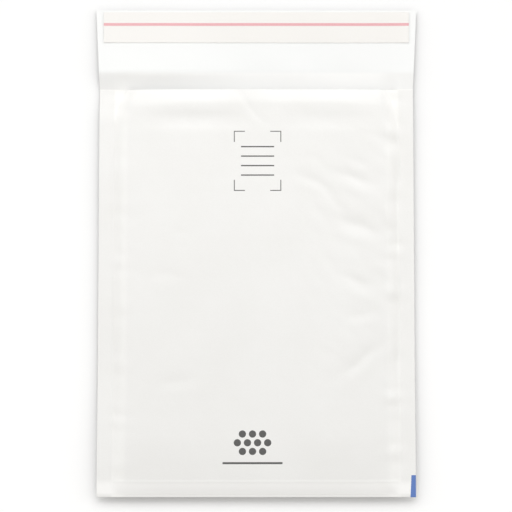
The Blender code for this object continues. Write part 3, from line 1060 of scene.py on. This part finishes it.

# %% [markdown]
# ## Hand the pieces to the frame
#
# Every piece rides on the one body and stands for its node. The film is the padding.

# %% Ride and replace
for piece, node, slot in (
    (paper, "paper_envelope", "paper"),
    (lining, "bubble_lining", "bubble_film"),
    (adhesive, "adhesive_strip", "adhesive"),
    (liner, "release_liner", "liner"),
):
    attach(piece, "root")
    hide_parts(node)

# %% [markdown]
# ## Floor, light and camera
#
# The photograph has a pure white ground with a soft shadow, deepest below the bottom edge.
# The light is large, high and beyond the flap, with weaker light from both sides, and the
# room's own light is a little warmer and weaker from the near side. The floor is white for
# the camera, so that the ground comes out white while its shadow stays. It throws less light
# back than it shows, so the paper keeps its tone. Its tone falls off towards the flap,
# because the large lamp is closer there, and well away from the envelope it is plain white.

# %% The floor
FLOOR_NEAR = 1.07
FLOOR_FAR = 0.90
FLOOR_REACH = 0.20
FLOOR_THROWN = 0.34
WHITE_FROM = 0.21
WHITE_AT = 0.40
FLOOR_SIZE = 8.0
FLOOR_HEIGHT = -0.0001


def floor_material():
    """White where the camera looks straight at it, and grey for the light it throws back."""
    made = bpy.data.materials.new("white_ground")
    made.use_nodes = True
    tree = made.node_tree
    tree.nodes.clear()
    start = Field(tree)
    seen = start.node("ShaderNodeLightPath", out="Is Camera Ray")
    point = own_place(start)
    span = {"From Min": -FLOOR_REACH, "From Max": FLOOR_REACH, "To Min": FLOOR_NEAR, "To Max": FLOOR_FAR}
    level = start.node("ShaderNodeMapRange", None, {"Value": part_of(point, "Y"), **span})
    grey = start.node("ShaderNodeCombineXYZ", None, {"X": level, "Y": level, "Z": level})
    tone = seen.mix((FLOOR_THROWN,) * 3, grey)
    diffuse = start.node("ShaderNodeBsdfDiffuse", None, {"Color": tone})
    white = start.node("ShaderNodeEmission", None, {"Strength": 1.0})
    distance = start.node("ShaderNodeVectorMath", {"operation": "LENGTH"}, {0: point}, out="Value")
    away = distance.step(WHITE_FROM, WHITE_AT) * seen
    ground = start.node("ShaderNodeMixShader", None, {0: away, 1: diffuse, 2: white})
    result = tree.nodes.new("ShaderNodeOutputMaterial")
    tree.links.new(ground.socket, result.inputs["Surface"])
    return made


bpy.ops.mesh.primitive_plane_add(size=FLOOR_SIZE, location=(0, 0, FLOOR_HEIGHT))
floor = bpy.context.object
floor.name = "white_floor"
floor.data.materials.append(floor_material())


# %% The lamps
def area_lamp(name, power, size, place):
    """A rectangular lamp that looks at the envelope's middle."""
    lamp = bpy.data.lights.new(name, "AREA")
    lamp.shape = "RECTANGLE"
    lamp.energy = power
    lamp.size, lamp.size_y = size
    made = bpy.data.objects.new(name, lamp)
    bpy.context.scene.collection.objects.link(made)
    made.location = place
    direction = -made.location
    made.rotation_euler = direction.to_track_quat("-Z", "Y").to_euler()


area_lamp("key_beyond_flap", power=6.35, size=(1.2, 0.6), place=(-0.05, 0.69, 0.98))
area_lamp("fill_left", power=1.4, size=(0.5, 0.9), place=(-0.95, 0.40, 0.66))
area_lamp("fill_right", power=1.5, size=(0.5, 0.9), place=(0.95, 0.20, 0.66))


# %% The room around it
ROOM_LIGHT = 0.64
ROOM_SLOPE = 0.19
WHITE = (1.0, 1.0, 1.0)
WARM = (1.0, 0.975, 0.925)
COOL = (0.99, 0.995, 1.0)


def soft_room():
    """Light from all around, warmer and weaker from the near side, and plain white where seen."""
    made = bpy.data.worlds.new("soft_room")
    made.use_nodes = True
    start = Field(made.node_tree)
    names = ("Is Camera Ray", "Is Glossy Ray", "Is Transmission Ray")
    direct, mirrored, through = (start.node("ShaderNodeLightPath", out=name) for name in names)
    seen = direct.larger(mirrored).larger(through)
    beyond = part_of(start.node("ShaderNodeTexCoord", out="Generated"), "Y")
    strength = (ROOM_LIGHT + ROOM_SLOPE * beyond) * (1 - seen) + seen
    tint = seen.mix(beyond.step(-1.0, 0.6).mix(WARM, COOL), WHITE)
    back = made.node_tree.nodes["Background"]
    made.node_tree.links.new(tint.socket, back.inputs["Color"])
    made.node_tree.links.new(strength.socket, back.inputs["Strength"])
    return made


bpy.context.scene.world = soft_room()
bpy.context.scene.view_settings.view_transform = "Standard"

# %% The camera
METRES_PER_PIXEL = 0.6366 / 1000
IMAGE_PIXELS = 512
SENSOR_WIDTH = 36.0
PHOTO_MIDDLE = (256.3, 253.25)
CAMERA_HEIGHT = 1.0
SURFACE_HEIGHT = 0.005

camera_data = bpy.data.cameras.new("camera")
camera_data.sensor_width = SENSOR_WIDTH
view_width = IMAGE_PIXELS * METRES_PER_PIXEL
camera_data.lens = SENSOR_WIDTH * (CAMERA_HEIGHT - SURFACE_HEIGHT) / view_width
camera = bpy.data.objects.new("camera", camera_data)
bpy.context.scene.collection.objects.link(camera)
camera.location = (
    (IMAGE_PIXELS / 2 - PHOTO_MIDDLE[0]) * METRES_PER_PIXEL,
    (PHOTO_MIDDLE[1] - IMAGE_PIXELS / 2) * METRES_PER_PIXEL,
    CAMERA_HEIGHT,
)
bpy.context.scene.camera = camera
print("lens:", round(camera_data.lens, 1), "mm")
